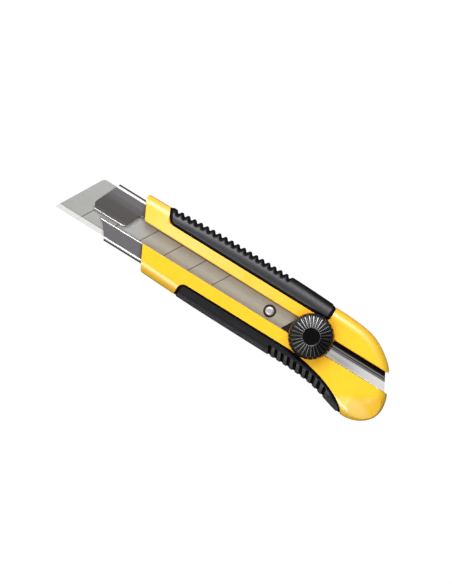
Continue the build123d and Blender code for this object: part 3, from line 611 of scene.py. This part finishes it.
def line_at(x, spine):
    """Outline y and inward normal at x, on the spine side or the edge side."""
    part = slice(0, butt_end + 1) if spine else slice(len(line) - 1, butt_end, -1)
    columns = (line[part, 1], line_normal[part, 0], line_normal[part, 1])
    return tuple(np.interp(x, line[part, 0], column) for column in columns)


# "wrap" is the signed distance along the grip's surface from half height, "depth" is how far
# inside the outline a spot lies


def roll_angle(wrap):
    return np.clip((np.abs(wrap) - WALL) / ROLL_R, 0, math.pi / 2)


def depth_of(wrap):
    s = np.abs(wrap)
    rolled = ROLL_R * (1 - np.cos(roll_angle(wrap)))
    return np.where(s <= WALL, 0.0, np.where(s <= WALL + ARC, rolled, ROLL_R + s - WALL - ARC))


def wrap_of(depth):
    d = np.clip(depth, 0.0, None)
    rolled = WALL + ROLL_R * np.arccos(np.clip(1 - d / ROLL_R, -1, 1))
    return np.where(d >= ROLL_R, WALL + ARC + d - ROLL_R, rolled)


def on_grip(x, wrap, spine, sink):
    """Points on the grip's surface, sunk squarely below it."""
    y, normal_x, normal_y = line_at(x, spine)
    angle = roll_angle(wrap)
    depth = depth_of(wrap) + sink * np.cos(angle)
    z = np.minimum(np.abs(wrap), WALL) + ROLL_R * np.sin(angle) - sink * np.sin(angle)
    points = [x + normal_x * depth, y + normal_y * depth, MID_Z + np.sign(wrap) * z]
    return np.stack(points, axis=-1)


def crowded(count, strength):
    """Sample positions 0..1, crowded towards both ends."""
    u = np.linspace(0, 1, count)
    return (1 - strength) * u + strength * (0.5 - 0.5 * np.cos(np.pi * u))


def sheet_faces(rows, cols):
    """Faces of a closed pad: outer grid, inner grid behind it, and strips joining their rims."""
    a = (np.arange(rows - 1)[:, None] * cols + np.arange(cols - 1)[None, :]).ravel()
    off = rows * cols
    outer = np.stack([a, a + 1, a + cols + 1, a + cols], 1)
    inner = np.stack([off + a, off + a + cols, off + a + cols + 1, off + a + 1], 1)
    i = np.arange(cols - 1)
    first_row = np.stack([i, off + i, off + i + 1, i + 1], 1)
    i = (rows - 1) * cols + i
    last_row = np.stack([i, i + 1, off + i + 1, off + i], 1)
    j = np.arange(rows - 1) * cols
    first_col = np.stack([j, j + cols, off + j + cols, off + j], 1)
    j = j + cols - 1
    last_col = np.stack([j, off + j, off + j + cols, j + cols], 1)
    return np.concatenate([outer, inner, first_row, last_row, first_col, last_col])


def grip(name, spine, left, right, depth_at, ribs, tones, cols, rows, finish):
    """A soft grip: a raised pad with a lowered border, wrapped over the handle's long edge.

    left and right give the ends' x for a spot this deep, depth_at the inner edge's depth at x,
    ribs(x, depth, room) the sink of the surface, room being the distance to the inner edge,
    and tones(x, depth, sink) how much painted shade (near black) and painted highlight (paler) it
    gets."""
    u = crowded(cols, 0.30)[None, :]
    v = crowded(rows, 0.45)[:, None]
    start = 8.0  # depth of the first guess for the ends
    x = left(start) + (right(start) - left(start)) * u + 0 * v
    # the ends' x and the depth hang on each other: settle them by repetition
    for _ in range(6):
        wrap_max = wrap_of(np.maximum(depth_at(x), 0.02))
        wrap = wrap_max * (1 - 2 * v)
        depth = depth_of(wrap)
        x = left(depth) + (right(depth) - left(depth)) * u
    # distance in from the pad's outline, rounded at the corners
    from_end = np.minimum(u, 1 - u) * (right(depth) - left(depth))
    from_rim = wrap_max - np.abs(wrap)
    corner = (from_end < CORNER_R) & (from_rim < CORNER_R)
    end_gap = CORNER_R - np.minimum(from_end, CORNER_R)
    rim_gap = CORNER_R - np.minimum(from_rim, CORNER_R)
    near = np.where(corner, CORNER_R - np.hypot(end_gap, rim_gap), np.minimum(from_end, from_rim))
    near = np.clip(near, 0.0, None)
    border = 1 - smooth(RIM_WIDTH - 0.25, RIM_WIDTH + 0.35, near)
    outermost = np.clip((EDGE_WIDTH - near) / EDGE_WIDTH, 0, 1)
    edge = EDGE_SINK * (1 - np.sqrt(np.clip(1 - outermost**2, 0, 1)))
    cut = ribs(x, depth, depth_at(x) - depth) * smooth(RIM_WIDTH - 0.1, RIM_WIDTH + 1.0, near)
    outer = on_grip(x, wrap, spine, RIM_SINK * border + edge + cut)
    inner = on_grip(x, wrap, spine, THICK - THINNER * smooth(3.4, 6.0, depth))
    verts = np.concatenate([outer.reshape(-1, 3), inner.reshape(-1, 3)])
    # painted shade and painted highlight, carried to the material as point attributes
    black, highlighted = tones(x, depth, cut)
    marks = {
        "rim": np.concatenate([np.maximum(border, black).ravel(), np.ones(border.size)]),
        "painted_highlight": np.concatenate([(highlighted * (1 - border)).ravel(), np.zeros(border.size)]),
    }
    faces = sheet_faces(rows, cols)
    return mesh_object(name, verts, faces, "handle", marks, finish)


def round_in(radius, low):
    """How far a rounded corner pulls in, low being the distance past the arc's start."""
    low = np.clip(low, 0.0, radius)
    return radius - np.sqrt(np.clip(radius * radius - low * low, 0.0, None))


# --- spine-side grip: rounded scallops over the shoulder, fading into the pad
SCALLOP_PITCH, SCALLOP_FIRST, SCALLOPS, SCALLOP_SINK = 3.633, -61.07, 19, 1.42
UPPER_INNER_Y, UPPER_CORNER_R = 10.5, 2.0


def upper_corner(y):
    return round_in(UPPER_CORNER_R, UPPER_CORNER_R - (y - UPPER_INNER_Y))


def upper_left(depth):
    """The slanted end towards the nose."""
    y = 18.6 - depth
    return -66.07 + (18.2 - y) * (3.4 / 7.7) + 1.1 * upper_corner(y)


def upper_right(depth):
    return 32.87 - upper_corner(19.4 - depth) - round_in(1.6, 1.6 - depth)


def upper_depth(x):
    y, _, normal_y = line_at(x, True)
    return (y - 10.53) / np.maximum(0.5, np.abs(normal_y))


def upper_ribs(x, depth, _room):
    k = (x - SCALLOP_FIRST) / SCALLOP_PITCH
    wave = (0.5 + 0.5 * np.cos(2 * np.pi * k)) ** 1.55
    inside = smooth(-0.52, -0.38, k) * (1 - smooth(SCALLOPS - 0.62, SCALLOPS - 0.48, k))
    reach = 1.0 - smooth(1.7, 3.9, depth)
    return SCALLOP_SINK * wave * inside * reach


def upper_tones(_x, depth, _cut):
    """Painted shade: the scalloped shoulder is painted darker than the flat pad."""
    return 0.75 * (1 - smooth(1.2, 3.3, depth)), 0.0


upper_grip = grip(
    "upper_grip_pad", True, upper_left, upper_right, upper_depth, upper_ribs, upper_tones,
    cols=640, rows=72, finish="grip_black",
)
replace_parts(upper_grip, "upper_grip")

# --- edge-side grip: rounded towards the nose, inner edge swept down to the butt, slanted grooves
# inner edge: x, y (mm)
LOWER_INNER = [
    (-60, -11.65), (0, -11.65), (18, -11.66), (24, -11.7), (28.5, -12.15), (33.6, -12.95),
    (38.7, -14.05), (43.8, -15.35), (48.9, -17.1), (53.9, -19.3), (58.6, -22.1), (61.2, -24.4),
    (63.0, -27.2),
]
GROOVE_PITCH, GROOVE_FIRST, GROOVES = 3.73, 15.9, 10
GROOVE_LEAN = 0.44  # shift towards -X per mm of depth
lower_inner = spline_points(LOWER_INNER, 2000)


def lower_left(depth):
    y = -19.05 + depth
    return -41.77 + round_in(3.4, 3.4 - (-11.65 - y))


def lower_right(depth):
    return 61.6 + 0 * depth


def swept_depth(xs):
    """Depth at which the inward normal from the outline crosses the swept inner edge."""
    y, normal_x, normal_y = line_at(xs, False)
    steps = np.linspace(0, 12, 1201)
    ray_x = xs[:, None] + normal_x[:, None] * steps
    ray_y = y[:, None] + normal_y[:, None] * steps
    inside = ray_y < np.interp(ray_x, lower_inner[:, 0], lower_inner[:, 1]) - 0.03
    return steps[np.argmax(~inside, axis=1)]


swept_x = np.linspace(-43, 63, 1061)
swept_depths = swept_depth(swept_x)


def lower_depth(x):
    return np.interp(x, swept_x, swept_depths)


def lower_ribs(x, depth, room):
    k = (x + GROOVE_LEAN * depth - GROOVE_FIRST) / GROOVE_PITCH
    groove = 1 - smooth(0.08, 0.30, np.abs(k - np.round(k)))
    inside = ((k > -0.5) & (k < GROOVES - 0.5)).astype(float)
    reach = 1.0 - smooth(3.9, 4.7, depth)
    sink = 0.55 + 0.75 * smooth(0.3, 1.8, depth)
    return sink * groove * inside * reach * smooth(0.9, 2.4, room)


def lower_tones(x, depth, cut):
    """Painted highlight: the outer edge and the bars between the grooves are painted paler;
    painted shade: the grooves are painted black.
    """
    outer = (0.35 + 0.65 * smooth(0.0, 0.6, depth)) * (1 - smooth(1.1, 3.3, depth))
    bars = smooth(GROOVE_FIRST - 3, GROOVE_FIRST + 1, x) * (1 - smooth(49, 54, x))
    bars = bars * (1 - smooth(3.9, 4.9, depth))
    clear = 1 - smooth(0.05, 0.4, cut)
    return 0.9 * (1 - clear), np.maximum(0.75 * outer, 0.85 * bars) * clear


lower_grip = grip(
    "lower_grip_pad", False, lower_left, lower_right, lower_depth, lower_ribs, lower_tones,
    cols=620, rows=72, finish="grip_black_dull",
)
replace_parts(lower_grip, "lower_grip")


# =============================================================================================
# lock wheel: turned dome with rounded ribs that roll over the rim
# =============================================================================================
WHEEL_X, WHEEL_Y, WHEEL_R = 29.1, -0.45, 11.85
RIBS, RIB_STEPS = 27, 18
CROWN_Z = 24.46
SHOULDER_Z = 19.2  # where the roll-over meets the upright rim
ROLL_START = 34  # slope angle at which the roll-over begins (degrees)
# each: radius, height
CAP_SEAT = [(4.33, 24.05), (4.35, 24.22), (4.42, 24.36), (4.54, 24.44), (4.70, CROWN_Z)]
RIM_FOOT = [(WHEEL_R - 0.08, 16.95), (WHEEL_R - 0.22, 16.80), (WHEEL_R - 0.42, 16.72)]
UNDERSIDE = [
    (9.95, 16.7), (9.8, 16.85), (9.8, 17.35), (7.8, 17.35), (7.8, 17.95), (4.02, 17.95),
    (4.02, 21.3), (4.2, 21.3), (4.2, 23.6), (4.33, 23.6),
]


def wheel_dome():
    """Outside profile, from the cap's seat over the shoulder and down the rim."""
    dome = list(CAP_SEAT)
    # a nearly straight cone, then rolled over to the rim
    for r in np.linspace(4.85, 10.15, 20):
        dome.append((r, CROWN_Z - (r - 4.75) * (0.40 + 0.012 * (r - 4.75))))
    cone_r, cone_z = dome[-1]
    first_sin = math.sin(math.radians(ROLL_START))
    first_cos = math.cos(math.radians(ROLL_START))
    for part in np.linspace(0.06, 1, 18):
        angle = math.radians(ROLL_START + (90 - ROLL_START) * part)
        r = cone_r + (WHEEL_R - cone_r) * (math.sin(angle) - first_sin) / (1 - first_sin)
        dome.append((r, SHOULDER_Z + (cone_z - SHOULDER_Z) * math.cos(angle) / first_cos))
    return dome + [(WHEEL_R, z) for z in np.linspace(19.0, 17.15, 8)] + RIM_FOOT


def wheel():
    dome = wheel_dome()
    path = np.array(dome + UNDERSIDE)
    rings, around = len(path), RIBS * RIB_STEPS
    tangent = np.roll(path, -1, axis=0) - np.roll(path, 1, axis=0)
    tangent /= np.hypot(tangent[:, 0], tangent[:, 1])[:, None]
    normal = np.stack([-tangent[:, 1], tangent[:, 0]], 1)
    r, z = path[:, 0], path[:, 1]
    depth = 1.05 - 0.45 * smooth(10.4, 11.7, r)
    depth = depth * smooth(4.45, 5.5, r) * smooth(16.72, 17.6, z)
    depth[len(dome) :] = 0
    j = np.arange(around)
    phase = np.abs((j % RIB_STEPS) / RIB_STEPS - 0.5) * 2  # 0 on a rib's crest, 1 in the valley
    valley = 1 - np.clip(1 - phase**2.6, 0, 1) ** 0.80
    angle = 2 * math.pi * (j + 0.5) / around
    ring_r = r[:, None] - normal[:, 0:1] * depth[:, None] * valley[None, :]
    ring_z = z[:, None] - normal[:, 1:2] * depth[:, None] * valley[None, :]
    x, y = WHEEL_X + ring_r * np.cos(angle), WHEEL_Y + ring_r * np.sin(angle)
    verts = np.stack([x, y, ring_z], -1)
    i, j = np.meshgrid(np.arange(rings), j, indexing="ij")
    row, next_row = i * around, (i + 1) % rings * around
    next_j = (j + 1) % around
    faces = np.stack([row + j, row + next_j, next_row + next_j, next_row + j], -1)
    slot = "wheel_black"
    return mesh_object("lock_wheel_body", verts, faces, "lock_wheel", {}, slot)


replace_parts(wheel(), "lock_wheel")


# =============================================================================================
# stage, light and camera (metres)
# =============================================================================================
CENTRE = Vector((-0.01946, -0.00393, 0.012))  # what the camera and the lamps aim at
FLOOR_HALF, FLOOR_CELLS, FLOOR_Z = 1.6, 24, -0.0002
FLOOR_SEEN, FLOOR_SHADE = 0.965, 0.06  # glow and reflectance of the floor to the camera


def floor_material():
    """Lit evenly for the camera, held back in reflections so the steel keeps dark outlines."""
    mat = Material("pale_floor")
    tone = mat.noise(scale=14, detail=3, rough=0.5, lo=0.3, hi=0.7)
    path = mat.add("ShaderNodeLightPath")
    seen = path.outputs["Is Camera Ray"]
    body = mat.mix(tone, low=(0.50, 0.50, 0.50), high=(0.53, 0.53, 0.53))
    body = mat.tint(body, path.outputs["Is Glossy Ray"], colour=(0.05, 0.05, 0.05))
    body = mat.tint(body, seen, colour=(FLOOR_SHADE, FLOOR_SHADE, FLOOR_SHADE))
    mat.set("Base Color", body)
    mat.set("Roughness", 0.9)
    mat.set("Specular IOR Level", 0.0)
    mat.set("Emission Color", (1.0, 1.0, 1.0))
    mat.set("Emission Strength", mat.times(seen, FLOOR_SEEN))
    # clear to an eye below it, and to the light from below
    behind = mat.times(seen, mat.geometry("Backfacing"))
    clear = mat.math("MAXIMUM", behind, path.outputs["Is Shadow Ray"])
    shader = mat.add("ShaderNodeMixShader")
    mat.link(clear, shader.inputs[0])
    mat.link(mat.bsdf.outputs[0], shader.inputs[1])
    mat.link(mat.add("ShaderNodeBsdfTransparent").outputs[0], shader.inputs[2])
    mat.link(shader.outputs[0], mat.out.inputs["Surface"])
    return mat.material


def floor():
    mesh = bpy.data.meshes.new("floor")
    bm = bmesh.new()
    places = [FLOOR_HALF * (2 * i / FLOOR_CELLS - 1) for i in range(FLOOR_CELLS + 1)]
    grid = [[bm.verts.new((x, y, 0.0)) for y in places] for x in places]
    for i in range(FLOOR_CELLS):
        for j in range(FLOOR_CELLS):
            bm.faces.new((grid[i][j], grid[i + 1][j], grid[i + 1][j + 1], grid[i][j + 1]))
    bm.to_mesh(mesh)
    bm.free()
    obj = bpy.data.objects.new("floor", mesh)
    bpy.context.scene.collection.objects.link(obj)
    mesh.materials.append(floor_material())
    obj.location.z = FLOOR_Z


floor()


def receivers(name, objects):
    """A collection of the only objects that a lamp lights."""
    collection = bpy.data.collections.new(name)
    for obj in objects:
        collection.objects.link(obj)
    return collection


channel = nodes["blade_channel"]
meshes = [obj for obj in bpy.context.scene.objects if obj.type == "MESH"]
# the bright channel mirrors the walls only: lamps in it would burn out to white
LIT = receivers("lit_by_lamps", [obj for obj in meshes if obj != channel])
SHELL = receivers("shell_only", [nodes["front_shell"]])
CHANNEL = receivers("channel_only", [channel])

# area lights: power in watts, size in metres, degrees off the zenith, azimuth from +X
LAMP_DISTANCE = 1.0
LAMPS = {
    "key": dict(power=5.6, size=(0.95, 0.40), off=48, azimuth=110, lights=LIT),
    "spark": dict(power=3.0, size=(0.24, 0.30), off=60, azimuth=124, lights=LIT),
    "fill": dict(power=3.9, size=(0.85, 0.44), off=37, azimuth=-92, lights=LIT),
    # a reflector card for the butt's far side
    "card": dict(power=1.15, size=(0.36, 0.22), off=45, azimuth=-74, lights=SHELL),
    # two narrow strips for the bright lines on the channel's rolled edges
    "strip_a": dict(power=2.6, size=(0.95, 0.10), off=37, azimuth=98, lights=CHANNEL),
    "strip_b": dict(power=2.4, size=(0.95, 0.10), off=37, azimuth=-97, lights=CHANNEL),
    # a soft light from below, for looking at the back through the floor
    "under": dict(power=4.5, size=(0.70, 0.50), off=172, azimuth=100),
}


def lamp(name, power, size, off, azimuth, lights=None):
    data = bpy.data.lights.new(name, "AREA")
    data.energy = power
    data.shape = "RECTANGLE"
    data.size, data.size_y = size
    obj = bpy.data.objects.new(name, data)
    off, azimuth = math.radians(off), math.radians(azimuth)
    level = math.sin(off)
    way = Vector((level * math.cos(azimuth), level * math.sin(azimuth), math.cos(off)))
    obj.location = CENTRE + way * LAMP_DISTANCE
    # first side level, face to the knife
    side = Vector((-math.sin(azimuth), math.cos(azimuth), 0.0))
    obj.rotation_euler = Matrix((side, way.cross(side), way)).transposed().to_euler()
    bpy.context.scene.collection.objects.link(obj)
    if lights:
        obj.light_linking.receiver_collection = lights


for name, setting in LAMPS.items():
    lamp(name, **setting)

# brightness of the spine-side wall, the edge-side wall, everything else and straight above
SKY_SPINE, SKY_EDGE, SKY_REST, SKY_ZENITH = 0.92, 0.60, 0.06, 0.20


def sin_deg(angle):
    return math.sin(math.radians(angle))


def cos_deg(angle):
    return math.cos(math.radians(angle))


def studio():
    """Studio walls: two long white sides, dim above, and a dark end behind the butt."""
    world = bpy.data.worlds.new("studio")
    graph = Graph(world)
    sky = graph.add("ShaderNodeTexCoord").outputs["Generated"]

    def toward(*direction):
        return graph.vector_math("DOT_PRODUCT", sky, direction, "Value")

    def step(value, **limits):
        return graph.remap(value, curve="SMOOTHSTEP", **limits)

    up = toward(0.0, 0.0, 1.0)
    spine_wall = step(toward(-0.30, 0.954, 0.0), lo=sin_deg(7), hi=sin_deg(15), end=SKY_SPINE)
    edge_wall = step(toward(-0.30, -0.954, 0.0), lo=sin_deg(11), hi=sin_deg(22), end=SKY_EDGE)
    sides = graph.times(
        graph.math("ADD", spine_wall, edge_wall),
        step(toward(1.0, 0.0, 0.0), lo=0.25, hi=0.65, start=1.0, end=0.03),
        step(toward(-1.0, 0.0, 0.0), lo=0.70, hi=0.95, start=1.0, end=0.35),
        step(up, lo=0.10, hi=0.36, start=0.12),
    )
    rest = step(up, lo=cos_deg(34), hi=cos_deg(12), start=SKY_REST, end=SKY_ZENITH)
    # the camera sees the floor's white instead of the walls
    shown = graph.add("ShaderNodeMix", data_type="FLOAT")
    graph.link(graph.add("ShaderNodeLightPath").outputs["Is Camera Ray"], shown.inputs[0])
    graph.link(graph.math("MAXIMUM", sides, rest), shown.inputs[2])
    shown.inputs[3].default_value = FLOOR_SEEN
    back = graph.add("ShaderNodeBackground")
    graph.put((1.0, 1.0, 1.0), back.inputs["Color"])
    graph.link(shown.outputs[0], back.inputs["Strength"])
    out = graph.add("ShaderNodeOutputWorld")
    graph.link(back.outputs[0], out.inputs["Surface"])
    return world


scene = bpy.context.scene
scene.world = studio()
scene.view_settings.view_transform = "Standard"

CAMERA_ROLL = math.radians(31.7)
CAMERA_HEIGHT, VIEW_WIDTH = 1.6, 0.2972  # above the centre, and width seen there
SENSOR_WIDTH = 36.0  # mm

cam_data = bpy.data.cameras.new("camera")
cam_data.lens = SENSOR_WIDTH * CAMERA_HEIGHT / VIEW_WIDTH
cam_data.sensor_fit = "AUTO"
cam_data.sensor_width = SENSOR_WIDTH
cam = bpy.data.objects.new("camera", cam_data)
cam.location = CENTRE + Vector((0, 0, CAMERA_HEIGHT))
cam.rotation_euler = (0.0, 0.0, CAMERA_ROLL)
scene.collection.objects.link(cam)
scene.camera = cam
